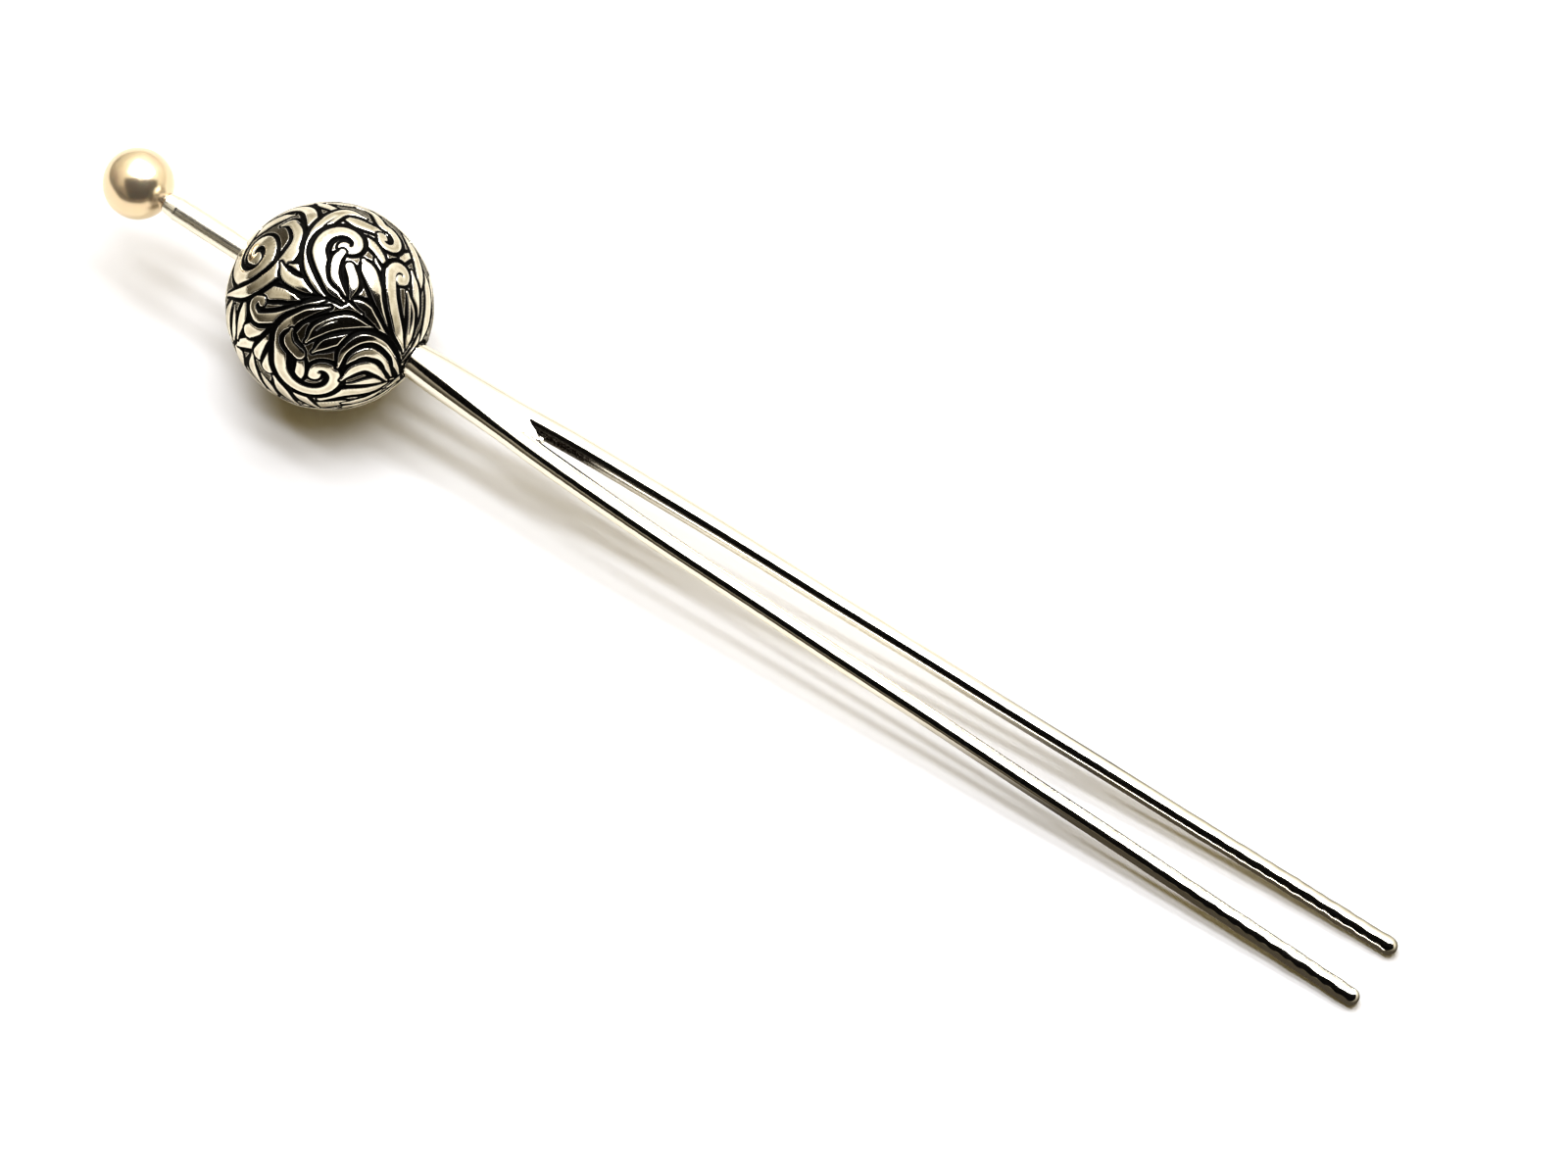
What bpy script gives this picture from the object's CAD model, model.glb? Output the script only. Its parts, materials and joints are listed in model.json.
import json
import math

import bpy
import numpy as np
from mathutils import Matrix, Vector


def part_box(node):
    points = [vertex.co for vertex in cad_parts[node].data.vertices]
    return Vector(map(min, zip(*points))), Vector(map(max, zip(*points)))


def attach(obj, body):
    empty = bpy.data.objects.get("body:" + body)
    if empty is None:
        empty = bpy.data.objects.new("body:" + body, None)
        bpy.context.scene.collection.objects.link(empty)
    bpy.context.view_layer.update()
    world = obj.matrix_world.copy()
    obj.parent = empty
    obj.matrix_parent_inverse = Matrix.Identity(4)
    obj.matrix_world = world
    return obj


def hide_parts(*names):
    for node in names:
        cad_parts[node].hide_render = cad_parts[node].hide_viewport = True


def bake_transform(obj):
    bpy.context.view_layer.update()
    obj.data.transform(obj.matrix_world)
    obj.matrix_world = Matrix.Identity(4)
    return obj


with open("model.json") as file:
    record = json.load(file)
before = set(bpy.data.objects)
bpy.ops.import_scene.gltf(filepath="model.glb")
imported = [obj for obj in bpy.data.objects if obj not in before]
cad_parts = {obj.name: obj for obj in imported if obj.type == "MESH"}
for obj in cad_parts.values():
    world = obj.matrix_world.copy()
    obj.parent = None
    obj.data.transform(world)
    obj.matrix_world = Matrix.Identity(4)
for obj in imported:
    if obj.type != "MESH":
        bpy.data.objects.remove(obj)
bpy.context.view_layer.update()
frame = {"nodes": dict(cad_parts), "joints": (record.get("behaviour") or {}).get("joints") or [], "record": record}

MM = 0.001

# ---------------------------------------------------------------- the pin's own frame
# x runs along the pin from the pearl to the tips, y across the fork, z square to the fork.
# The ball's centre is at 0, and lengths are in millimetres.

joints = {j["name"]: j for j in frame["joints"]}
mounts = {m["name"]: m for m in frame["record"]["mounts"]}
left_hinge = Vector(joints["left_prong_flex"]["pos_m"])
right_hinge = Vector(joints["right_prong_flex"]["pos_m"])
fork_normal = Vector(joints["left_prong_flex"]["axis"]).normalized()
along = Vector((fork_normal.z, 0, -fork_normal.x))
crotch = (left_hinge + right_hinge) / 2

shell_low, shell_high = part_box("ball_upper_shell")
BALL_R = (shell_high.y - shell_low.y) / 2 / MM
ball_centre = crotch + along * ((BALL_R * MM - crotch.z) / along.z)
AXES = np.array([along, (0, 1, 0), fork_normal])


def to_pin(points):
    """World points in metres, as pin-frame millimetres."""
    return (np.asarray(points, float) - np.array(ball_centre)) @ AXES.T / MM


def to_world(points):
    """Pin-frame millimetres, as world points in metres."""
    return np.array(ball_centre) + np.asarray(points, float) @ AXES * MM


def span(node):
    """Where a CAD node starts and ends along the pin, and its radius round the axis."""
    q = to_pin([v.co for v in frame["nodes"][node].data.vertices])
    return q[:, 0].min(), q[:, 0].max(), np.hypot(q[:, 1], q[:, 2]).max()


# ---------------------------------------------------------------- camera
VIEW_AZIMUTH = math.radians(34.4)
VIEW_ELEVATION = math.radians(60)
CAMERA_DISTANCE = 1.0
CAMERA_LENS = 335.2
SENSOR_WIDTH = 36
CLIP_NEAR, CLIP_FAR = 0.05, 20
LOOK_AT = Vector((2.2, 2.6, 0)) * MM

to_camera = Vector((
    math.sin(VIEW_AZIMUTH) * math.cos(VIEW_ELEVATION),
    -math.cos(VIEW_AZIMUTH) * math.cos(VIEW_ELEVATION),
    math.sin(VIEW_ELEVATION),
))
view_right = Vector((math.cos(VIEW_AZIMUTH), math.sin(VIEW_AZIMUTH), 0))
view_up = to_camera.cross(view_right)
VIEW = np.array([view_right, view_up, to_camera])

camera_data = bpy.data.cameras.new("camera")
camera_data.lens = CAMERA_LENS
camera_data.sensor_width = SENSOR_WIDTH
camera_data.clip_start = CLIP_NEAR
camera_data.clip_end = CLIP_FAR
camera = bpy.data.objects.new("camera", camera_data)
bpy.context.scene.collection.objects.link(camera)
camera.location = LOOK_AT + to_camera * CAMERA_DISTANCE
camera.rotation_mode = "QUATERNION"
camera.rotation_quaternion = (-to_camera).to_track_quat("-Z", "Y")
bpy.context.scene.camera = camera


# ---------------------------------------------------------------- mesh helpers
AXIS_HOLE = 1e-4  # smallest ring at a pole, so that no face collapses


def rings_to_mesh(rings, closed_start=True, closed_end=True):
    """Joins rings of points, whose counts may differ, into one surface. Returns points and faces."""
    points, faces, starts = [], [], []
    total = 0
    for ring in rings:
        starts.append(total)
        points.append(ring)
        total += len(ring)
    for i in range(len(rings) - 1):
        faces += stitch(starts[i], len(rings[i]), starts[i + 1], len(rings[i + 1]))
    if closed_start:
        faces.append(list(range(starts[0] + len(rings[0]) - 1, starts[0] - 1, -1)))
    if closed_end:
        faces.append(list(range(starts[-1], starts[-1] + len(rings[-1]))))
    return np.concatenate(points), faces


def stitch(a0, na, b0, nb):
    """Faces between two rings of na and nb points that start at the same angle."""
    if na == nb:
        return [[a0 + k, a0 + (k + 1) % na, b0 + (k + 1) % na, b0 + k] for k in range(na)]
    faces, i, j = [], 0, 0
    while i < na or j < nb:
        if j >= nb or (i < na and (i + 0.5) / na <= (j + 0.5) / nb):
            faces.append([a0 + i % na, a0 + (i + 1) % na, b0 + j % nb])
            i += 1
        else:
            faces.append([a0 + i % na, b0 + (j + 1) % nb, b0 + j % nb])
            j += 1
    return faces


def closed_tube(rings):
    """Rings along the outside and back along the inside, with the last joined to the first."""
    points, faces = rings_to_mesh(rings, False, False)
    last = len(rings[-1])
    return points, faces + stitch(len(points) - last, last, 0, len(rings[0]))


def around(sides):
    """Angles once round a ring."""
    return np.arange(sides) * 2 * math.pi / sides


def circle(x, r, sides):
    """Ring round the pin's axis at station x."""
    a = around(sides)
    return np.stack([np.full(sides, float(x)), r * np.cos(a), r * np.sin(a)], 1)


def piece(name, points, faces, material, slot_name, attributes=None, sharp=40):
    """Makes an object of pin-frame points, with its material and smooth shading."""
    mesh = bpy.data.meshes.new(name)
    mesh.from_pydata(to_world(points).tolist(), [], faces)
    mesh.update()
    for key, values in (attributes or {}).items():
        layer = mesh.attributes.new(key, "FLOAT", "POINT")
        layer.data.foreach_set("value", np.asarray(values, np.float32))
    mesh.materials.append(material)
    mesh.polygons.foreach_set("use_smooth", [True] * len(mesh.polygons))
    mesh.set_sharp_from_angle(angle=math.radians(sharp))
    obj = bpy.data.objects.new(name, mesh)
    bpy.context.scene.collection.objects.link(obj)
    return obj


def arc(cx, cr, radius, start, end, steps):
    """Profile points (x, r) on a circular arc, angles in degrees from +x."""
    return [
        (cx + radius * math.cos(math.radians(a)), cr + radius * math.sin(math.radians(a)))
        for a in np.linspace(start, end, steps)
    ]


def lathe(profile, sides):
    """Solid of revolution round the pin's axis from (x, r) points."""
    return rings_to_mesh([circle(x, max(r, AXIS_HOLE), sides) for x, r in profile])


# ---------------------------------------------------------------- materials
class Nodes:
    """A node tree with short calls for adding nodes."""

    def __init__(self, tree):
        self.tree = tree
        self.tree.nodes.clear()

    def put(self, socket, value):
        if isinstance(value, bpy.types.NodeSocket):
            self.tree.links.new(value, socket)
        else:
            socket.default_value = value

    def add(self, kind, inputs=None, output=0, **settings):
        node = self.tree.nodes.new(kind)
        for key, value in settings.items():
            setattr(node, key, value)
        for key, value in (inputs or {}).items():
            self.put(node.inputs[key], value)
        return node.outputs[output]

    def place(self, scale):
        """Object coordinates in millimetres, times scale."""
        where = self.add("ShaderNodeTexCoord", output="Object")
        return self.add("ShaderNodeMapping", {"Vector": where, "Scale": [s / MM for s in scale]})

    def noise(self, vector, scale, detail=3.0, roughness=0.5):
        return self.add("ShaderNodeTexNoise", {
            "Vector": vector, "Scale": scale, "Detail": detail, "Roughness": roughness,
        }, "Fac")

    def math(self, operation, a, b=0.0, clamp=False):
        return self.add("ShaderNodeMath", {0: a, 1: b}, operation=operation, use_clamp=clamp)

    def remap(self, value, low, high, out_low=0.0, out_high=1.0, smooth=True):
        return self.add("ShaderNodeMapRange", {
            "Value": value, "From Min": low, "From Max": high, "To Min": out_low, "To Max": out_high,
        }, "Result", interpolation_type="SMOOTHSTEP" if smooth else "LINEAR")

    def mix(self, factor, a, b, blend="MIX"):
        node = self.tree.nodes.new("ShaderNodeMix")
        node.data_type = "RGBA"
        node.blend_type = blend
        self.put(node.inputs["Factor"], factor)
        self.put(node.inputs[6], a)
        self.put(node.inputs[7], b)
        return node.outputs[2]

    def attribute(self, name):
        return self.add("ShaderNodeAttribute", output="Fac", attribute_name=name)

    def bump(self, height, strength, distance_mm, normal=None):
        inputs = {"Height": height, "Strength": strength, "Distance": distance_mm * MM}
        if normal is not None:
            inputs["Normal"] = normal
        return self.add("ShaderNodeBump", inputs)


class Shader(Nodes):
    """A material of one Principled surface."""

    def __init__(self, name):
        self.material = bpy.data.materials.new(name)
        self.material.use_nodes = True
        super().__init__(self.material.node_tree)

    def finish(self, inputs):
        surface = self.add("ShaderNodeBsdfPrincipled", inputs)
        out = self.tree.nodes.new("ShaderNodeOutputMaterial")
        self.tree.links.new(surface, out.inputs["Surface"])
        return self.material


def rgb(r, g, b):
    return (r, g, b, 1.0)


def polished_silver(name, worn):
    """Bright silver, polished along the pin, and black where no cloth reaches between the prongs.
    worn is added to its roughness."""
    fresh, handled = rgb(0.95, 0.93, 0.89), rgb(0.90, 0.87, 0.80)
    sulphide = rgb(0.025, 0.018, 0.012)
    s = Shader(name)
    tarnish = s.attribute("tarnish")
    lines = s.noise(s.place((0.25, 14, 14)), 1.0, 4.0, 0.65)
    rubbed = s.noise(s.place((0.35, 0.8, 0.8)), 1.0, 3.0, 0.5)
    specks = s.noise(s.place((9, 9, 9)), 1.0, 2.0, 0.5)
    tint = s.mix(s.remap(rubbed, 0.35, 0.7), fresh, handled)
    rough = s.remap(lines, 0.3, 0.75, 0.035, 0.10)
    rough = s.math("ADD", rough, s.remap(rubbed, 0.45, 0.75, 0.0, 0.05))
    fine = s.bump(lines, 0.10, 0.012)
    pits = s.bump(s.remap(specks, 0.62, 0.72), 0.04, 0.01, fine)
    patchy = s.math("MULTIPLY", tarnish, s.remap(specks, 0.25, 0.7, 1.25, 0.8), clamp=True)
    tint = s.mix(patchy, tint, sulphide)
    rough = s.math("ADD", rough, s.math("MULTIPLY", patchy, 0.30))
    rough = s.math("ADD", rough, worn)
    return s.finish({"Base Color": tint, "Metallic": 1.0, "Roughness": rough, "Normal": pits})


def engraved_silver():
    """Polished leaves, black oxide in the cuts and a darker, stippled ground between them."""
    bright, greyed, toned = rgb(0.96, 0.93, 0.86), rgb(0.66, 0.61, 0.51), rgb(0.52, 0.46, 0.36)
    ground_high, ground_low = rgb(0.10, 0.085, 0.06), rgb(0.012, 0.010, 0.008)
    hatched, oxide = rgb(0.10, 0.09, 0.08), rgb(0.002, 0.0018, 0.0015)
    s = Shader("engraved_silver")
    shine = s.attribute("shine")
    ground = s.attribute("ground")
    side = s.attribute("side")
    run = s.attribute("run")
    tone = s.attribute("tone")
    cloudy = s.noise(s.place((1.1, 1.1, 1.1)), 1.0, 4.0, 0.6)
    fine = s.noise(s.place((9, 9, 9)), 1.0, 4.0, 0.6)
    grit = s.noise(s.place((22, 22, 22)), 1.0, 2.0, 0.5)

    edge = s.math("ADD", shine, s.remap(fine, 0.2, 0.8, -0.02, 0.02, False))
    silver = s.remap(edge, -0.008, 0.03)
    floor = s.remap(ground, 0.0, 0.06)
    middle = s.math("MULTIPLY", s.remap(shine, 0.10, 0.34), s.remap(cloudy, 0.32, 0.68, 0.35, 1.0))

    leaf = s.mix(middle, bright, greyed)
    leaf = s.mix(s.math("MULTIPLY", tone, s.remap(cloudy, 0.4, 0.7, 0.2, 0.7)), leaf, toned)
    speckle = s.math("MULTIPLY", s.remap(grit, 0.45, 0.6), s.remap(fine, 0.3, 0.7, 0.4, 1.0))
    sunk = s.mix(speckle, ground_high, ground_low)
    colour = s.mix(floor, leaf, sunk)

    strokes = s.math("SINE", s.math("MULTIPLY", run, 30.0))
    shaded = s.math("MULTIPLY", s.remap(side, 0.25, 0.8), s.remap(strokes, 0.2, 1.0))
    colour = s.mix(s.math("MULTIPLY", shaded, s.math("MULTIPLY", tone, 0.8)), colour, hatched)
    colour = s.mix(silver, oxide, colour)

    rough = s.remap(silver, 0.0, 1.0, 0.6, 0.09, False)
    rough = s.math("ADD", rough, s.math("MULTIPLY", floor, 0.25))
    rough = s.math("ADD", rough, s.remap(fine, 0.35, 0.8, 0.0, 0.06))
    relief_height = s.math("ADD", s.math("MULTIPLY", speckle, floor), s.math("MULTIPLY", grit, 0.10))
    normal = s.bump(relief_height, 0.25, 0.03)
    normal = s.bump(cloudy, 0.14, 0.09, normal)
    return s.finish({
        "Base Color": colour, "Metallic": silver, "Roughness": rough,
        "Specular IOR Level": 0.08, "Normal": normal,
    })


def nacre():
    """Cream pearl: a soft body under a clear, slightly rosy lustre."""
    s = Shader("nacre")
    cloud = s.noise(s.place((0.45, 0.45, 0.45)), 1.0, 3.0, 0.5)
    grain = s.noise(s.place((6, 6, 6)), 1.0, 3.0, 0.6)
    body = s.mix(s.remap(cloud, 0.35, 0.7), rgb(0.90, 0.76, 0.54), rgb(0.90, 0.72, 0.54))
    body = s.mix(s.remap(grain, 0.55, 0.75, 0.0, 0.2), body, rgb(0.72, 0.56, 0.36))
    return s.finish({
        "Base Color": body, "Roughness": s.remap(grain, 0.3, 0.8, 0.18, 0.25), "Metallic": 0.86,
        "Subsurface Weight": 0.3, "Subsurface Radius": (1.0, 0.7, 0.5), "Subsurface Scale": 0.4 * MM,
        "Specular IOR Level": 0.6, "Coat Weight": 0.6, "Coat Roughness": 0.08, "Coat IOR": 1.5,
        "Sheen Weight": 0.1, "Sheen Tint": rgb(1.0, 0.85, 0.8),
        "Normal": s.bump(grain, 0.05, 0.02),
    })


def solder():
    """Hard silver solder as it flowed, dull and a little yellow."""
    s = Shader("silver_solder")
    flow = s.noise(s.place((3, 3, 3)), 1.0, 4.0, 0.6)
    colour = s.mix(flow, rgb(0.74, 0.72, 0.66), rgb(0.55, 0.52, 0.46))
    return s.finish({
        "Base Color": colour, "Metallic": 1.0, "Roughness": s.remap(flow, 0.3, 0.7, 0.25, 0.5),
        "Normal": s.bump(flow, 0.3, 0.03),
    })


def epoxy():
    """Clear glue gone a little yellow."""
    s = Shader("epoxy")
    haze = s.noise(s.place((4, 4, 4)), 1.0, 3.0, 0.5)
    colour = s.mix(haze, rgb(0.86, 0.80, 0.62), rgb(0.78, 0.68, 0.44))
    return s.finish({
        "Base Color": colour, "Roughness": s.remap(haze, 0.3, 0.7, 0.15, 0.35),
        "Transmission Weight": 0.4, "IOR": 1.5,
    })


SILVER = polished_silver("polished_silver", 0.0)
WORN_SILVER = polished_silver("worn_silver", 0.20)
ENGRAVED = engraved_silver()
NACRE = nacre()
SOLDER = solder()
EPOXY = epoxy()

# ---------------------------------------------------------------- the engraving
# A stroke is a band on the ball with a black cut round it. Places are given as seen from the
# camera's side: x to the right and y up, in parts of the ball's radius. Half widths are in mm.
STEP = 0.14  # mm between the points of a path
RIM = 0.97  # where place() stops being a plain view and starts to go round the ball
PAST_RIM = 4


def place(x, y):
    """Unit direction on the ball, in right, up, towards-camera parts."""
    rho = math.hypot(x, y)
    angle = math.asin(rho) if rho < RIM else math.asin(RIM) + (rho - RIM) * PAST_RIM
    k = math.sin(angle) / rho if rho > 1e-9 else 0.0
    return np.array([x * k, y * k, math.cos(angle)])


def smooth_path(points, widths):
    """Curve through directions on the ball, with its half widths, in steps of about STEP mm."""
    p = np.array(points)
    w = np.array(widths, float)
    ends = np.concatenate([[2 * p[0] - p[1]], p, [2 * p[-1] - p[-2]]])
    out, out_w = [], []
    for i in range(len(p) - 1):
        a, b, c, d = ends[i:i + 4]
        n = max(2, int(np.linalg.norm(c - b) * BALL_R / STEP))
        for t in np.arange(n) / n:
            q = 0.5 * (2 * b + (c - a) * t + (2 * a - 5 * b + 4 * c - d) * t ** 2
                       + (3 * b - a - 3 * c + d) * t ** 3)
            out.append(q)
            out_w.append(w[i] + (w[i + 1] - w[i]) * t * t * (3 - 2 * t))
    out.append(p[-1])
    out_w.append(w[-1])
    out = np.array(out)
    return out / np.linalg.norm(out, axis=1)[:, None], np.array(out_w)


def leaf(*marks, cut=1.0, tone=0.3):
    """A leaf or stem through marks (x, y, half width)."""
    path, width = smooth_path([place(x, y) for x, y, _ in marks], [m[2] for m in marks])
    return {"path": path, "width": width, "cut": cut, "tone": tone}


def scroll(lead, centre, start, turn, outer, inner, stem, bulb, cut=1.0, tone=0.3):
    """A stem that comes in over lead, winds round centre and ends in a round bulb.
    start and turn are in degrees, anticlockwise as seen, and outer and inner are radii in mm."""
    c = place(*centre)
    across = np.array([1, 0, 0]) - c[0] * c
    across /= np.linalg.norm(across)
    upward = np.cross(c, across)
    points = [place(x, y) for x, y, _ in lead]
    widths = [m[2] for m in lead]
    count = max(6, int(abs(turn) / 22))
    for i in range(count + 1):
        t = i / count
        a = math.radians(start + turn * t)
        r = (inner + (outer - inner) * (1 - t) ** 1.7) / BALL_R
        points.append(c * math.cos(r) + math.sin(r) * (math.cos(a) * across + math.sin(a) * upward))
        widths.append(stem * (1 - 0.45 * t) if i < count else bulb)
    path, width = smooth_path(points, widths)
    return {"path": path, "width": width, "cut": cut, "tone": tone}


def slit(*marks, tone=0.0):
    """A black cut inside a leaf, through marks (x, y, half width)."""
    path, width = smooth_path([place(x, y) for x, y, _ in marks], [m[2] for m in marks])
    return {"path": path, "width": width, "cut": None, "tone": tone}


FRONT = [
    # foliage round the rim, under the rest
    leaf((0.90, 0.34, 0.1), (0.95, 0.12, 0.5), (0.94, -0.14, 0.5), (0.86, -0.38, 0.1), tone=0.2),
    leaf((0.68, 0.72, 0.1), (0.80, 0.54, 0.46), (0.87, 0.32, 0.46), (0.88, 0.12, 0.1), tone=0.2),
    leaf((0.44, 0.90, 0.1), (0.68, 0.74, 0.30), (0.85, 0.54, 0.34), (0.95, 0.34, 0.08), tone=0.4),
    leaf((0.80, 0.32, 0.1), (0.84, 0.14, 0.36), (0.84, -0.06, 0.40), (0.80, -0.30, 0.08), tone=0.3),
    leaf((-0.78, 0.06, 0.1), (-0.82, -0.12, 0.4), (-0.87, -0.32, 0.08), tone=0.5),
    leaf((-0.92, 0.04, 0.15), (-0.97, -0.12, 0.5), (-0.93, -0.34, 0.1), tone=0.7),
    leaf((-0.52, -0.68, 0.1), (-0.44, -0.82, 0.42), (-0.30, -0.95, 0.1), tone=0.5),
    leaf((-0.36, -0.78, 0.1), (-0.26, -0.88, 0.4), (-0.10, -0.98, 0.1), tone=0.4),
    leaf((-0.72, -0.46, 0.1), (-0.72, -0.62, 0.4), (-0.62, -0.78, 0.1), tone=0.6),
    leaf((0.66, -0.66, 0.06), (0.42, -0.80, 0.34), (0.14, -0.84, 0.42), (-0.08, -0.90, 0.2), tone=0.3),
    leaf((0.64, -0.74, 0.06), (0.42, -0.90, 0.32), (0.16, -0.97, 0.3), tone=0.4),
    leaf((0.62, -0.70, 0.05), (0.40, -0.73, 0.28), (0.18, -0.76, 0.06), tone=0.2),
    leaf((-0.02, 0.98, 0.1), (0.14, 0.97, 0.35), (0.34, 0.93, 0.3), (0.48, 0.86, 0.08), tone=0.5),
    # the eye near the stem, and the bands that sweep down from the top
    scroll([(-0.30, 0.99, 0.3), (-0.62, 0.80, 0.4)],
           (-0.68, 0.50), 120, 500, 2.7, 0.5, 0.58, 0.5, tone=0.5),
    leaf((-0.48, 0.86, 0.1), (-0.34, 0.92, 0.36), (-0.18, 0.90, 0.4), (-0.15, 0.70, 0.34),
         (-0.26, 0.48, 0.3), (-0.38, 0.34, 0.06), tone=0.2),
    leaf((-0.44, 0.76, 0.12), (-0.33, 0.78, 0.36), (-0.27, 0.64, 0.42), (-0.38, 0.44, 0.5),
         (-0.56, 0.26, 0.44), (-0.78, 0.13, 0.4), (-0.97, 0.10, 0.1), tone=0.2),
    slit((-0.30, 0.80, 0.02), (-0.22, 0.70, 0.12), (-0.28, 0.52, 0.02)),
    # leaves that meet in the middle
    leaf((0.66, -0.42, 0.06), (0.52, -0.20, 0.36), (0.34, -0.03, 0.36), (0.16, 0.03, 0.05), tone=0.1),
    leaf((0.34, -0.10, 0.05), (0.10, -0.01, 0.46), (-0.16, -0.05, 0.52), (-0.38, -0.18, 0.1), tone=0.1),
    leaf((0.44, -0.22, 0.05), (0.18, -0.17, 0.46), (-0.06, -0.24, 0.40), (-0.20, -0.36, 0.08), tone=0.1),
    leaf((0.36, -0.29, 0.05), (0.20, -0.33, 0.30), (0.00, -0.38, 0.34), (-0.14, -0.46, 0.06), tone=0.2),
    slit((0.10, -0.16, 0.02), (0.00, -0.18, 0.06), (-0.10, -0.25, 0.02)),
    leaf((-0.44, 0.40, 0.06), (-0.38, 0.26, 0.36), (-0.20, 0.17, 0.42), (0.06, 0.11, 0.05), tone=0.1),
    leaf((-0.36, 0.38, 0.05), (-0.27, 0.35, 0.2), (-0.20, 0.27, 0.05), tone=0.1),
    # left: a small scroll and three lobes that hang from it
    leaf((-0.40, -0.14, 0.1), (-0.56, -0.20, 0.40), (-0.76, -0.25, 0.50), tone=0.3),
    leaf((-0.42, -0.22, 0.1), (-0.54, -0.34, 0.42), (-0.66, -0.47, 0.50), tone=0.3),
    leaf((-0.44, -0.30, 0.1), (-0.51, -0.46, 0.42), (-0.58, -0.60, 0.46), tone=0.3),
    scroll([(0.00, 0.04, 0.04), (-0.26, -0.05, 0.26), (-0.46, -0.12, 0.32)],
           (-0.65, 0.00), 262, -215, 0.95, 0.35, 0.34, 0.38, tone=0.1),
    # the large scroll at the bottom, with a drop inside it
    scroll([(0.04, -0.03, 0.04), (-0.22, -0.10, 0.26), (-0.42, -0.25, 0.42)],
           (-0.09, -0.66), 158, 395, 2.95, 0.30, 0.46, 0.48, cut=1.3, tone=0.1),
    leaf((-0.33, -0.24, 0.1), (-0.36, -0.36, 0.38), (-0.27, -0.47, 0.44), tone=0.5),
    # the fan of arcs at the bottom right
    leaf((0.10, -0.60, 0.08), (0.17, -0.44, 0.25), (0.34, -0.34, 0.36), (0.51, -0.39, 0.34),
         (0.62, -0.52, 0.25), (0.67, -0.66, 0.06), cut=1.3, tone=0.2),
    leaf((0.16, -0.66, 0.08), (0.25, -0.51, 0.26), (0.40, -0.46, 0.32), (0.53, -0.54, 0.26),
         (0.60, -0.68, 0.06), cut=1.2, tone=0.4),
    leaf((0.13, -0.72, 0.1), (0.26, -0.62, 0.36), (0.42, -0.60, 0.34), (0.56, -0.72, 0.06), tone=0.2),
    # right: a hooked leaf, a drop, and a stem with a scroll at its top
    leaf((0.76, 0.12, 0.1), (0.80, -0.08, 0.34), (0.78, -0.28, 0.34), (0.74, -0.42, 0.08), tone=0.6),
    slit((0.79, 0.02, 0.03), (0.80, -0.12, 0.14), (0.77, -0.28, 0.03)),
    leaf((0.46, 0.44, 0.05), (0.50, 0.30, 0.26), (0.56, 0.12, 0.24), (0.61, -0.04, 0.04), tone=0.3),
    leaf((0.35, 0.42, 0.14), (0.41, 0.30, 0.52), (0.49, 0.08, 0.42), (0.59, -0.16, 0.30),
         (0.70, -0.42, 0.05), tone=0.0),
    scroll([(0.72, -0.45, 0.06), (0.67, -0.22, 0.38), (0.62, 0.04, 0.42)],
           (0.71, 0.26), 188, -300, 1.0, 0.28, 0.42, 0.42, tone=0.2),
    scroll([(0.26, 0.94, 0.06), (0.42, 0.88, 0.28)],
           (0.55, 0.62), 96, -300, 1.65, 0.30, 0.38, 0.44, tone=0.3),
    # the large scroll at the top, with leaves on both sides
    leaf((0.14, 0.00, 0.05), (-0.07, 0.16, 0.28), (-0.16, 0.40, 0.44), (-0.11, 0.66, 0.50),
         (0.02, 0.82, 0.48), (0.18, 0.89, 0.38), (0.36, 0.83, 0.10), tone=0.1),
    slit((0.08, 0.84, 0.02), (-0.04, 0.74, 0.09), (-0.09, 0.58, 0.02)),
    scroll([(0.17, 0.02, 0.05), (0.03, 0.17, 0.30)],
           (0.20, 0.56), 205, -345, 2.15, 0.30, 0.44, 0.46, cut=1.2, tone=0.0),
    leaf((0.18, 0.08, 0.05), (0.08, 0.26, 0.26), (0.09, 0.42, 0.30), (0.15, 0.50, 0.24), tone=0.1),
    leaf((0.22, 0.04, 0.05), (0.26, 0.20, 0.34), (0.22, 0.36, 0.30), tone=0.0),
]

axis_seen = VIEW @ np.array(along)


def half_turn(p):
    """Directions turned by half a turn round the pin, where the same design is cut again."""
    return 2 * (p @ axis_seen)[..., None] * axis_seen - p


def pole_cut(sign, radius):
    """A black ring round the hole where the stem or the neck leaves the ball."""
    side = np.cross(axis_seen, [0, 0, 1.0])
    side /= np.linalg.norm(side)
    other = np.cross(axis_seen, side)
    a = np.linspace(0, 2 * math.pi, 40)
    r = radius / BALL_R
    path = (sign * math.cos(r) * axis_seen
            + math.sin(r) * (np.cos(a)[:, None] * side + np.sin(a)[:, None] * other))
    return {"path": path, "width": np.full(40, 0.14), "cut": None, "tone": 0.0}


def cut_width(stroke):
    """Half width of the black cut beside a stroke: broad at its middle, fine at its ends."""
    w = stroke["width"]
    n = np.linspace(0, 1, len(w))
    swell = np.sqrt(np.sin(math.pi * n).clip(0)) * np.clip(w / 0.35, 0.3, 1)
    return stroke["cut"] * (0.17 + 0.23 * swell)


PLAIN_BREADTH = 0.4
FAR = 9.0  # mm, further than any stroke's reach
UNDER = -0.2  # the ground field on a leaf or in its cut


def blank(count):
    """Fields of a bare ball: how far inside the silver (below 0 in a cut) and inside the ground, the
    place across and along the stroke, its tone and its half width."""
    return {
        "shine": np.full(count, 0.5), "ground": np.full(count, 3.0), "side": np.zeros(count),
        "run": np.zeros(count), "tone": np.zeros(count), "breadth": np.full(count, PLAIN_BREADTH),
    }


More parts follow.
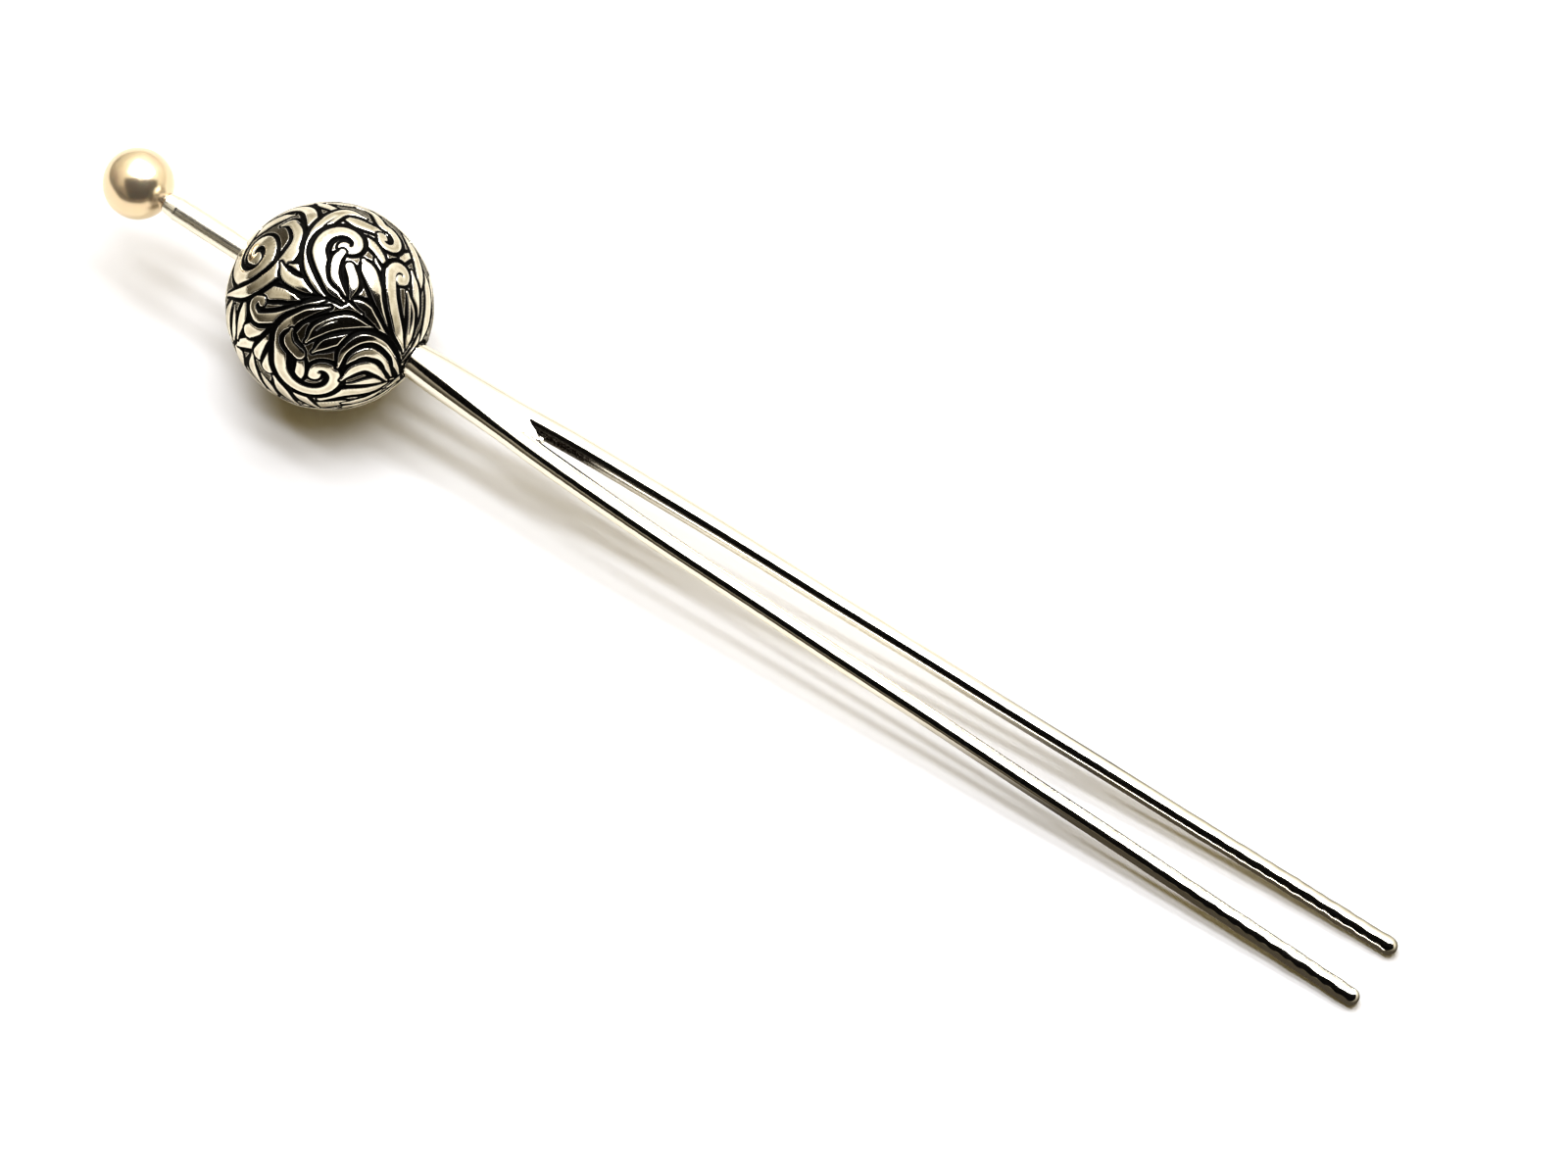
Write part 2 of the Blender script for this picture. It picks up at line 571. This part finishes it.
def carve(stroke, q_all, fields):
    """Cuts one stroke into the fields at directions q_all, over what is there."""
    path, width = stroke["path"], stroke["width"]
    cut = np.zeros(len(path)) if stroke["cut"] is None else cut_width(stroke)
    middle = path.mean(0)
    middle /= np.linalg.norm(middle)
    reach = math.acos(np.clip((path @ middle).min(), -1, 1)) + (width.max() + 1.3) / BALL_R
    near = np.nonzero(q_all @ middle > math.cos(min(reach, math.pi)))[0]
    if not len(near):
        return
    q = q_all[near]
    best = np.full(len(near), FAR)
    best_cut = np.full(len(near), FAR)
    lateral = np.zeros(len(near))
    progress = np.zeros(len(near))
    here = np.full(len(near), PLAIN_BREADTH)
    for k in range(len(path) - 1):
        a, b = path[k], path[k + 1]
        ab = b - a
        t = np.clip((q - a) @ ab / (ab @ ab), 0, 1)
        off = q - a - t[:, None] * ab
        d = np.sqrt((off ** 2).sum(1)) * BALL_R
        w = width[k] + (width[k + 1] - width[k]) * t
        g = cut[k] + (cut[k + 1] - cut[k]) * t
        closer = d - w < best
        best = np.where(closer, d - w, best)
        across = (off @ np.cross(ab, a)) / np.linalg.norm(ab) * BALL_R / (w + 0.01)
        lateral = np.where(closer, across, lateral)
        progress = np.where(closer, (k + t) * STEP, progress)
        here = np.where(closer, w, here)
        best_cut = np.minimum(best_cut, d - w - g)
    shine, ground = fields["shine"], fields["ground"]
    old = shine[near]
    if stroke["cut"] is None:
        over = np.where(old > 0, np.minimum(old, best), old)
        shine[near] = np.where(best < 0, np.minimum(best, old), over)
        return
    in_cut = np.maximum(best_cut, -best)
    in_cut = np.where(old < 0, np.minimum(in_cut, old), in_cut)
    outside = np.where(old > 0, np.minimum(old, best_cut), old)
    shine[near] = np.where(best < 0, -best, np.where(best_cut < 0, in_cut, outside))
    ground[near] = np.where(best_cut < 0, UNDER, np.minimum(ground[near], best_cut))
    on = best < 0
    fields["side"][near[on]] = lateral[on]
    fields["run"][near[on]] = progress[on]
    fields["tone"][near[on]] = stroke["tone"]
    fields["breadth"][near[on]] = here[on]


def even_directions(count):
    """Directions spread evenly over the ball, on a spiral that turns by the golden angle."""
    n = np.arange(count) + 0.5
    height = 1 - 2 * n / count
    turn = n * math.pi * (3 - math.sqrt(5))
    level = np.sqrt(1 - height ** 2)
    return np.stack([level * np.cos(turn), level * np.sin(turn), height], 1)


def small_leaves(strokes, smallest, most=150):
    """Leaves that fill the gaps left between strokes, the widest gap first."""
    q = even_directions(7000)
    fields = blank(len(q))
    for stroke in strokes:
        carve(stroke, q, fields)
    made = []
    for number in range(most):
        spot = int(np.argmax(fields["ground"]))
        room = fields["ground"][spot]
        if room < smallest:
            break
        p = q[spot]
        offset = q - p * (q @ p)[:, None]
        away = np.linalg.norm(offset, axis=1) * BALL_R
        ring = (away > 0.5) & (away < 1.5) & (q @ p > 0)
        open_way = offset[ring] * np.clip(fields["ground"][ring], 0, 1)[:, None] ** 2
        way = np.linalg.eigh(open_way.T @ open_way)[1][:, 2]
        way = way - p * (way @ p)
        way /= np.linalg.norm(way)
        bend = np.cross(p, way) * (0.10 if number % 2 else -0.10)
        width = min(0.62 * room + 0.06, 0.55)
        length = (1.1 + 2.2 * width) / BALL_R
        marks = [
            p + way * (length * t) + bend * (length * (t * t - 0.3) * 2) for t in (-0.8, -0.3, 0.25, 0.8)
        ]
        path, half = smooth_path(
            [m / np.linalg.norm(m) for m in marks], [0.06, width * 0.8, width, 0.05 + 0.3 * width])
        stroke = {"path": path, "width": half, "cut": 0.95, "tone": 0.3 + 0.4 * (number % 2)}
        made.append(stroke)
        carve(stroke, q, fields)
        fields["ground"][spot] = UNDER
    return made


SCROLLS = [{**s, "path": half_turn(s["path"])} for s in FRONT] + FRONT
SMALLEST_GAP = 0.34
NECK_R = 1.27
STROKES = (
    small_leaves(SCROLLS, SMALLEST_GAP) + SCROLLS
    + [pole_cut(-1, span("stem_tube")[2] + 0.14), pole_cut(1, NECK_R + 0.2)]
)


def engrave(directions):
    """The fields of the whole design at directions in world axes."""
    q = directions @ VIEW.T
    fields = blank(len(q))
    for stroke in STROKES:
        carve(stroke, q, fields)
    fields["ground"] = np.minimum(fields["ground"], 0.5)
    return fields


EDGE = 0.08  # mm over which a leaf's edge is rounded
EDGE_LOW, EDGE_RISE = -0.04, 0.032
GROUND_LOW = -0.045
CUT_SLOPE, CUT_REACH = 1.2, 0.18


def relief(shine, ground, breadth):
    """Height over the ball in mm: flat leaves with a rounded edge, V-shaped cuts, sunk ground."""
    inside = np.clip(shine, 0, None)
    edge = np.clip(inside / EDGE, 0, 1)
    across = np.clip(inside / np.maximum(breadth, EDGE), 0, 1)
    crown = np.minimum(breadth, 0.6) * 0.022 * (1 - (1 - across) ** 2)
    leaf_height = EDGE_LOW + EDGE_RISE * edge * (2 - edge) + crown
    blend = np.clip(ground / EDGE, 0, 1)
    silver_height = leaf_height * (1 - blend) + GROUND_LOW * blend
    depth = np.clip(-shine, 0, CUT_REACH)
    return np.where(shine > 0, silver_height, EDGE_LOW - CUT_SLOPE * depth)


WALL = 0.7
RING_SPACING = 0.064
POLE_SIDES, SEAM_SIDES = 360, 720
FINER_FROM = math.radians(44)
INNER_SIDES, INNER_RINGS = 180, 20


def half_shell(name, node, sign, hole):
    """One engraved half of the hollow ball, from the hole round its pole to the seam."""
    inner_r = BALL_R - WALL
    first = math.asin(hole / BALL_R)
    count = int((math.pi / 2 - first) / (RING_SPACING / BALL_R))
    rings = [
        circle(sign * math.cos(theta), math.sin(theta), SEAM_SIDES if theta > FINER_FROM else POLE_SIDES)
        for theta in np.linspace(first, math.pi / 2, count + 1)
    ]
    unit = np.concatenate(rings)
    fields = engrave(unit @ AXES)
    outer = unit * (BALL_R + relief(fields["shine"], fields["ground"], fields["breadth"]))[:, None]
    outer_rings = list(np.split(outer, np.cumsum([len(r) for r in rings])[:-1]))
    inner_rings = [
        inner_r * circle(sign * math.cos(theta), math.sin(theta), INNER_SIDES)
        for theta in np.linspace(math.pi / 2, math.asin(hole / inner_r), INNER_RINGS)
    ]
    points, faces = closed_tube(outer_rings + inner_rings)
    if sign < 0:
        faces = [f[::-1] for f in faces]
    pad = len(points) - len(unit)
    plain_inside = {"shine": 0.3, "ground": UNDER, "side": 0.0, "run": 0.0, "tone": 0.5}
    attributes = {
        key: np.concatenate([fields[key], np.full(pad, inside)])
        for key, inside in plain_inside.items()
    }
    shell = piece(name, points, faces, ENGRAVED, "oxidised_silver", attributes, 60)
    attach(shell, "ornament")
    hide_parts(node)
    return shell


HOLE_PLAY = 0.02
_, stem_end, stem_r = span("stem_tube")
half_shell("engraved_upper_half", "ball_upper_shell", -1, stem_r + HOLE_PLAY)
half_shell("engraved_lower_half", "ball_lower_shell", 1, NECK_R + HOLE_PLAY)

# ---------------------------------------------------------------- pearl, cup and stem
pearl_start, _, _ = span("pearl")
pearl_low, pearl_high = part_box("pearl")
PEARL_R = (pearl_high.y - pearl_low.y) / 2 / MM
PEARL_X = pearl_start + PEARL_R
cup_start, cup_end, _ = span("pearl_cup")
WIRE_R = 0.47
TURNED_SIDES = 96


def pearl_shape():
    """A pearl a hair off round, drilled half way, with a worn edge round the hole."""
    hole, bottom = 0.45, PEARL_X - 0.5
    edge = math.degrees(math.asin(hole / PEARL_R))
    mouth = PEARL_X + PEARL_R * math.cos(math.radians(edge)) - 0.03
    profile = arc(PEARL_X, 0, PEARL_R, 180, edge + 1.5, 90)
    profile += [(mouth, hole), (bottom, hole), (bottom, 0)]
    points, faces = lathe(profile, 128)
    d = points - np.array([PEARL_X, 0, 0])
    r = np.linalg.norm(d, axis=1)
    u = d / np.maximum(r, 1e-6)[:, None]
    wobble = 0.004 * np.sin(3 * u[:, 1] + 1.0) * np.sin(4 * u[:, 2] + 0.5)
    wobble += 0.0025 * np.sin(9 * u[:, 0] + 5 * u[:, 2])
    outside = r > 0.9 * PEARL_R
    points[outside] += (u * (wobble - 0.006)[:, None] * PEARL_R)[outside]
    return points, faces


pearl = piece("cream_pearl", *pearl_shape(), NACRE, "nacre", sharp=50)
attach(pearl, "ornament")
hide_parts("pearl")

# The cup: a tapered collar with a rolled lip against the pearl and a fine burnished line behind it.
LIP = 0.05
cup_profile = [(cup_start + 0.06, WIRE_R), (cup_start + 0.01, 0.60)]
cup_profile += arc(cup_start + 0.07, 0.67, LIP, 180, 80, 8)
cup_profile += [
    (cup_start + 0.35, 0.755), (cup_start + 0.62, 0.785), (cup_end - 0.34, 0.815),
    (cup_end - 0.22, 0.845), (cup_end - 0.10, stem_r + 0.012), (cup_end - 0.03, stem_r + 0.004),
    (cup_end + 0.002, stem_r - 0.012), (cup_end + 0.002, WIRE_R),
]
points, faces = closed_tube([circle(x, r, TURNED_SIDES) for x, r in cup_profile])
cup = piece("pearl_cup_turned", points, faces, WORN_SILVER, "polished_silver", sharp=35)
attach(cup, "ornament")
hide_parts("pearl_cup")

# The stem: it starts a little thinner under the cup, and small waves in it come from hand polishing.
stem_from = cup_end + 0.004
stem_profile = []
for x in np.linspace(stem_from, stem_end, 40):
    wave = 0.004 * math.sin(1.7 * x + 0.4) + 0.0025 * math.sin(4.1 * x)
    fade = min(1, (x - cup_end) / 0.12)
    stem_profile.append((x, (stem_r - 0.012) + 0.012 * fade + wave * fade))
stem_profile += [(stem_end, WIRE_R), (stem_from, WIRE_R)]
points, faces = closed_tube([circle(x, r, TURNED_SIDES) for x, r in stem_profile])
stem = piece("polished_stem", points, faces, WORN_SILVER, "polished_silver", sharp=35)
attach(stem, "ornament")
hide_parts("stem_tube")

# ---------------------------------------------------------------- the fork
left_root = to_pin([left_hinge])[0]
ROOT_X, ROOT_Y = left_root[0], left_root[1]
tip_mount = mounts["left_tip"]
TIP_R = tip_mount["dims"]["r_mm"]
TIP_STRAIGHT = tip_mount["dims"]["length_mm"]
tip_axis = np.array(tip_mount["axis"]) @ AXES.T
nose = to_pin([tip_mount["pos_m"]])[0] + tip_axis * TIP_STRAIGHT / 2
NOSE_X, TIP_Y = nose[0], nose[1]
RUN_SLOPE = tip_axis[1] / tip_axis[0]
ROOT_R = 0.835
ROOT_SLOPE = 0.085
BEND = 22.0
ROOT_HANDLE, END_HANDLE = 5, 10  # mm of the bend's curve that keep close to the straight at each end
bend_end = np.array([ROOT_X + BEND, TIP_Y - RUN_SLOPE * (NOSE_X - ROOT_X - BEND)])
BEND_POINTS = [
    np.array([ROOT_X, ROOT_Y]), np.array([ROOT_X + ROOT_HANDLE, ROOT_Y + ROOT_SLOPE * ROOT_HANDLE]),
    bend_end - np.array([END_HANDLE, RUN_SLOPE * END_HANDLE]), bend_end,
]
TAPER_END = NOSE_X - TIP_STRAIGHT
TAPER_POWER = 1.6


def hermite(u, start, end, slope_start, slope_end):
    """Smooth value from start to end, u from 0 to 1, and its slope in u."""
    value = ((2 * u ** 3 - 3 * u * u + 1) * start + (u ** 3 - 2 * u * u + u) * slope_start
             + (3 * u * u - 2 * u ** 3) * end + (u ** 3 - u * u) * slope_end)
    slope = ((6 * u * u - 6 * u) * (start - end) + (3 * u * u - 4 * u + 1) * slope_start
             + (3 * u * u - 2 * u) * slope_end)
    return value, slope


def prong_radius(x):
    """Half thickness of a prong: a taper that flattens out towards the tip."""
    u = max(0.0, (TAPER_END - x) / (TAPER_END - ROOT_X))
    return TIP_R + (ROOT_R - TIP_R) * u ** TAPER_POWER


ROOT_TAPER = (prong_radius(ROOT_X + 0.5) - ROOT_R) / 0.5
NECK_LENGTH = ROOT_X - BALL_R


def fork_line(x):
    """Sideways place, its slope, and radius of a prong's middle line at station x, back to the ball."""
    if x < ROOT_X:
        u = max(0.0, (x - BALL_R) / NECK_LENGTH)
        y, slope = hermite(u, 0.0, ROOT_Y, 0.9, ROOT_SLOPE * NECK_LENGTH)
        r, _ = hermite(u, NECK_R, ROOT_R, 0.0, ROOT_TAPER * NECK_LENGTH)
        return y, slope / NECK_LENGTH if u > 0 else 0.0, r
    if x >= bend_end[0]:
        return bend_end[1] + RUN_SLOPE * (x - bend_end[0]), RUN_SLOPE, prong_radius(x)
    low, high = 0.0, 1.0
    p = BEND_POINTS
    for _ in range(40):
        t = (low + high) / 2
        here = ((1 - t) ** 3 * p[0] + 3 * (1 - t) ** 2 * t * p[1]
                + 3 * (1 - t) * t * t * p[2] + t ** 3 * p[3])
        low, high = (t, high) if here[0] < x else (low, t)
    d = (1 - t) ** 2 * (p[1] - p[0]) + 2 * (1 - t) * t * (p[2] - p[1]) + t * t * (p[3] - p[2])
    return here[1], d[1] / d[0], prong_radius(x)


# The web between the prongs starts to sink at WEB_X, and the prongs are free from SPLIT_X on.
WEB_X = ROOT_X - 0.3
SPLIT_X = ROOT_X + 1.5


def tarnish_along(x):
    """How black the inner side of a prong is at station x."""
    stations = [WEB_X - 0.1, WEB_X + 0.1, ROOT_X + 4.2, ROOT_X + 6.5, ROOT_X + 18]
    return np.interp(x, stations, [0, 1, 1, 0.45, 0])


def facing_crotch(inward):
    """1 where a section faces the other prong, falling to 0 at its flanks. inward is from -1 to 1."""
    return np.clip((inward - 0.55) / 0.2, 0, 1)


IN_NECK = 0.8  # mm of the prong that stand inside the neck
FINE_ZONE = 14  # mm before the tip where the stations are closer together


def prong_shape(side, nose_length, nose_power, phase):
    """A springy prong with a filed, rounded tip, and how black it is. Small waves in its surface come
    from hand work."""
    end = NOSE_X + TIP_R
    body = np.concatenate([
        np.linspace(SPLIT_X - IN_NECK, SPLIT_X, 8)[:-1],
        np.linspace(SPLIT_X, NOSE_X - FINE_ZONE, 240)[:-1],
        np.linspace(NOSE_X - FINE_ZONE, end - nose_length, 130),
    ])
    stations = [(x, 1.0) for x in body]
    for t in np.linspace(0, 1, 26)[1:]:
        s = math.sin(t * math.pi / 2)
        stations.append((end - nose_length + nose_length * s, max(0.012, (1 - s ** nose_power) ** 0.5)))
    a = around(72)
    rings, tarnish = [], []
    for x, share in stations:
        y, slope, r = fork_line(x)
        hidden = 0.008 * (1 - np.clip((x - SPLIT_X) / 1.5, 0, 1))
        near_tip = np.clip((x - (NOSE_X - 20)) / 14, 0, 1)
        free = np.clip((x - ROOT_X) / 3, 0, 1)
        waves = free * (0.0016 + 0.012 * near_tip) * (
            np.sin(1.7 * x + phase) + 0.7 * np.sin(3.3 * x + 2 * a + 2.1 * phase)
            + 0.6 * np.sin(5.9 * x - 3 * a + phase))
        filed = near_tip * (0.010 * np.cos(4 * a + phase) + 0.006 * np.cos(3 * a + 2 * phase))
        r = (r - hidden - 0.012 * near_tip + waves + filed) * share
        t = math.atan(slope)
        sway = free * 0.012 * math.sin(0.42 * x + phase)
        rings.append(np.stack([
            x - r * np.cos(a) * math.sin(t), side * (y + sway + r * np.cos(a) * math.cos(t)),
            r * np.sin(a) * side,
        ], 1))
        tarnish.append(facing_crotch(-np.cos(a)) * tarnish_along(x))
    return (*rings_to_mesh(rings), np.concatenate(tarnish))


for name, side, nose_length, nose_power, phase in (
    ("left", 1, 0.70, 2.2, 0.3),
    ("right", -1, 0.62, 2.6, 2.0),
):
    points, faces, black = prong_shape(side, nose_length, nose_power, phase)
    prong = piece(
        f"springy_prong_{name}", points, faces, SILVER, "polished_silver", {"tarnish": black}, 50)
    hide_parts(f"prong_{name}")
    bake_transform(prong)


def neck_ring(x, sides):
    """Section of the neck, round at the ball, then two round sections with a web that sinks between
    them, and how black it is."""
    c, _, r = fork_line(x)
    a = around(sides)
    lobes = c * np.abs(np.cos(a)) + np.sqrt(np.clip(r * r - (c * np.sin(a)) ** 2, 1e-4, None))
    u = np.clip((x - WEB_X) / (SPLIT_X - WEB_X), 0, 1)
    level = r * (1 - 0.88 * u ** 1.2)
    between = c * np.abs(np.sin(a)) > r * np.abs(np.cos(a))
    web = np.where(between, level / np.maximum(np.abs(np.sin(a)), 1e-6), 0)
    d = np.maximum(lobes, web)
    aside = np.abs(d * np.cos(a))
    wedge = np.interp(x, [WEB_X, SPLIT_X], [0.42, 0.14])
    black = facing_crotch((c - aside) / r) * np.clip((aside - wedge) / 0.06, 0, 1) * tarnish_along(x)
    return np.stack([np.full(sides, x), d * np.cos(a), d * np.sin(a)], 1), black


neck_from, _, _ = span("fork_neck")
neck_rings = [neck_ring(x, 160) for x in (neck_from, *np.linspace(BALL_R - 1, SPLIT_X, 110))]
points, faces = rings_to_mesh([ring for ring, _ in neck_rings])
black = np.concatenate([shade for _, shade in neck_rings])
neck = piece("fork_neck_forged", points, faces, SILVER, "polished_silver", {"tarnish": black}, 50)
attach(neck, "ornament")
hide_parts("fork_neck")

# ---------------------------------------------------------------- CAD nodes that stay, all inside
for node, material in (
    ("pearl_cement", EPOXY), ("core_wire", SILVER), ("ball_seam_ring", SILVER),
    ("stem_solder", SOLDER), ("neck_solder", SOLDER),
):
    data = frame["nodes"][node].data
    data.materials.clear()
    data.materials.append(material)

# ---------------------------------------------------------------- table, studio and light
def table_top():
    """A white lacquered table top with the faintest unevenness."""
    s = Shader("white_table")
    soft = s.noise(s.place((0.01, 0.01, 0.01)), 1.0, 2.0, 0.5)
    colour = s.mix(soft, rgb(0.90, 0.885, 0.865), rgb(0.93, 0.92, 0.905))
    return s.finish({"Base Color": colour, "Roughness": 0.6, "Specular IOR Level": 0.2})


def black_card():
    """A matt black card, a little uneven."""
    s = Shader("black_card")
    patch = s.noise(s.place((0.02, 0.02, 0.02)), 1.0, 2.0, 0.5)
    tint = s.mix(patch, rgb(0.006, 0.005, 0.005), rgb(0.0051, 0.00425, 0.00425))
    return s.finish({"Base Color": tint, "Roughness": 0.8, "Specular IOR Level": 0.1})


def table_in_silver(fade_from, fade_to):
    """The table as the silver shows it, pale by the ball and dark towards the tips. Stations in mm."""
    s = Shader("table_in_silver")
    east = s.add("ShaderNodeSeparateXYZ", {"Vector": s.place((1, 1, 1))}, "X")
    soft = s.noise(s.place((0.02, 0.02, 0.02)), 1.0, 2.0, 0.5)
    pale = s.mix(soft, rgb(0.94, 0.89, 0.76), rgb(0.84, 0.79, 0.66))
    tint = s.mix(s.remap(east, fade_from, fade_to), pale, rgb(0.07, 0.06, 0.045))
    return s.finish({"Base Color": tint, "Roughness": 0.8, "Specular IOR Level": 0.1})


def flat_sheet(name, corners, material):
    """A flat stage piece through corners in metres."""
    mesh = bpy.data.meshes.new(name)
    mesh.from_pydata([tuple(c) for c in corners], [], [list(range(len(corners)))])
    mesh.materials.append(material)
    obj = bpy.data.objects.new(name, mesh)
    bpy.context.scene.collection.objects.link(obj)
    return obj


def flat_card(name, centre, facing, upward, width, height, material):
    """A flat rectangle that faces a direction."""
    facing = facing.normalized()
    x = upward.cross(facing).normalized()
    y = facing.cross(x)
    obj = flat_sheet(name, [
        centre + x * (i * width / 2) + y * (j * height / 2)
        for i, j in ((-1, -1), (1, -1), (1, 1), (-1, 1))
    ], material)
    return obj


def only_mirrored(obj):
    """Leaves a stage piece in mirror images alone."""
    obj.visible_camera = False
    obj.visible_diffuse = False
    obj.visible_shadow = False


TABLE_SIZE = 6
floor = flat_card(
    "table_top", Vector((0, 0, 0)), Vector((0, 0, 1)), Vector((0, 1, 0)), TABLE_SIZE, TABLE_SIZE,
    table_top(),
)
floor.visible_glossy = False

# The silver mirrors this sheet in the table's place. Its corners are in mm.
FADE_FROM = ball_centre.x / MM + 42
FADE_TO = ball_centre.x / MM + 62
SHEET_LIFT = 0.002
SHEET_CORNERS = ((-110, -80), (-20, -50), (FADE_TO, -16), (FADE_TO, 80), (-110, 80))
near_table = flat_sheet(
    "table_seen_in_the_silver", [(x * MM, y * MM, SHEET_LIFT * MM) for x, y in SHEET_CORNERS],
    table_in_silver(FADE_FROM, FADE_TO),
)
only_mirrored(near_table)

# The ball and the prongs mirror this black card as the dark of the room. Its edges are slopes, as
# seen from the ball's centre.
CARD_AWAY = 0.25
CARD_LEFT, CARD_RIGHT = -0.90, 2.30
CARD_LOW, CARD_HIGH = -1.50, 0.38
card_centre = view_right * ((CARD_LEFT + CARD_RIGHT) / 2) + view_up * ((CARD_LOW + CARD_HIGH) / 2)
card = flat_card(
    "dark_card", Vector(ball_centre) + (card_centre + to_camera) * CARD_AWAY, -to_camera, view_up,
    (CARD_RIGHT - CARD_LEFT) * CARD_AWAY, (CARD_HIGH - CARD_LOW) * CARD_AWAY, black_card(),
)
only_mirrored(card)


def soft_light(name, way, distance, width, height, power, colour):
    """A rectangular softbox that looks at the middle of the pin, its width along the pin."""
    way = Vector(way).normalized()
    data = bpy.data.lights.new(name, "AREA")
    data.shape = "RECTANGLE"
    data.size = width
    data.size_y = height
    data.energy = power
    data.color = colour
    light = bpy.data.objects.new(name, data)
    bpy.context.scene.collection.objects.link(light)
    light.location = way * distance
    light.rotation_mode = "QUATERNION"
    beside = (along - way * along.dot(way)).normalized()
    axes = Matrix((beside, way.cross(beside), way)).transposed()
    light.rotation_quaternion = axes.to_quaternion()
    light.visible_camera = False
    return light


# Three strips light the table and give its banded shadows. The softbox shows only in the silver.
LIGHTS_AWAY = 1.3
STRIP_SIZE, STRIP_POWER, STRIP_COLOUR = (1.4, 0.17), 7.3, (0.84, 0.885, 1.0)
SOFTBOX_SIZE, SOFTBOX_POWER, SOFTBOX_COLOUR = (1.6, 1.35), 40, (1.0, 0.99, 0.97)
for name, lean_back in (("back_strip", 0.44), ("middle_strip", 0.16), ("front_strip", -0.12)):
    strip = soft_light(
        name, (-0.12, lean_back, 1.0), LIGHTS_AWAY, *STRIP_SIZE, STRIP_POWER, STRIP_COLOUR)
    strip.visible_glossy = False
softbox = soft_light(
    "softbox", (0.04, 0.33, 0.95), LIGHTS_AWAY, *SOFTBOX_SIZE, SOFTBOX_POWER, SOFTBOX_COLOUR)
softbox.visible_diffuse = False


ROOM_BRIGHTEST = Vector((0.10, 0.45, 0.89)).normalized()
ROOM_UNEVEN = 0.12
ROOM_STOPS = (
    (0.30, (0.08, 0.068, 0.048)), (0.97, (1.25, 1.18, 1.05)), (0.50, (0.34, 0.305, 0.23)),
    (0.62, (0.62, 0.565, 0.44)), (0.74, (0.84, 0.78, 0.63)), (0.86, (1.05, 0.98, 0.82)),
)
ROOM_ON_MATT = rgb(0.258, 0.213, 0.099)
BACKDROP = rgb(0.93, 0.92, 0.90)


def studio_world():
    """A warm room: brightest overhead and behind the pin, dark low down on the camera's side. Matt
    surfaces get a weaker, warmer light from it than silver shows, and the camera a pale backdrop."""
    world = bpy.data.worlds.new("studio")
    bpy.context.scene.world = world
    world.use_nodes = True
    n = Nodes(world.node_tree)
    where = n.add("ShaderNodeTexCoord", output="Generated")
    lean = n.add("ShaderNodeVectorMath", {0: where, 1: ROOM_BRIGHTEST}, "Value", operation="DOT_PRODUCT")
    wander = n.remap(n.noise(where, 2.3), 0.3, 0.7, -ROOM_UNEVEN, ROOM_UNEVEN, False)
    level = n.remap(n.math("ADD", lean, wander), -1.0, 1.0, smooth=False)
    room = n.add("ShaderNodeValToRGB", {"Fac": level}, "Color")
    stops = room.node.color_ramp.elements
    for number, (position, colour) in enumerate(ROOM_STOPS):
        stop = stops[number] if number < 2 else stops.new(position)
        stop.position = position
        stop.color = rgb(*colour)
    camera_ray = n.add("ShaderNodeLightPath", output="Is Camera Ray")
    matt = n.math("SUBTRACT", 1.0, camera_ray.node.outputs["Is Glossy Ray"])
    seen = n.add("ShaderNodeBackground", {"Color": n.mix(matt, room, ROOM_ON_MATT, "MULTIPLY")})
    backdrop = n.add("ShaderNodeBackground", {"Color": BACKDROP})
    either = n.add("ShaderNodeMixShader", {0: camera_ray, 1: seen, 2: backdrop})
    out = n.tree.nodes.new("ShaderNodeOutputWorld")
    n.put(out.inputs["Surface"], either)


studio_world()

bpy.context.scene.view_settings.view_transform = "Standard"
bpy.context.scene.view_settings.look = "Medium High Contrast"
bpy.context.scene.view_settings.exposure = 0.0
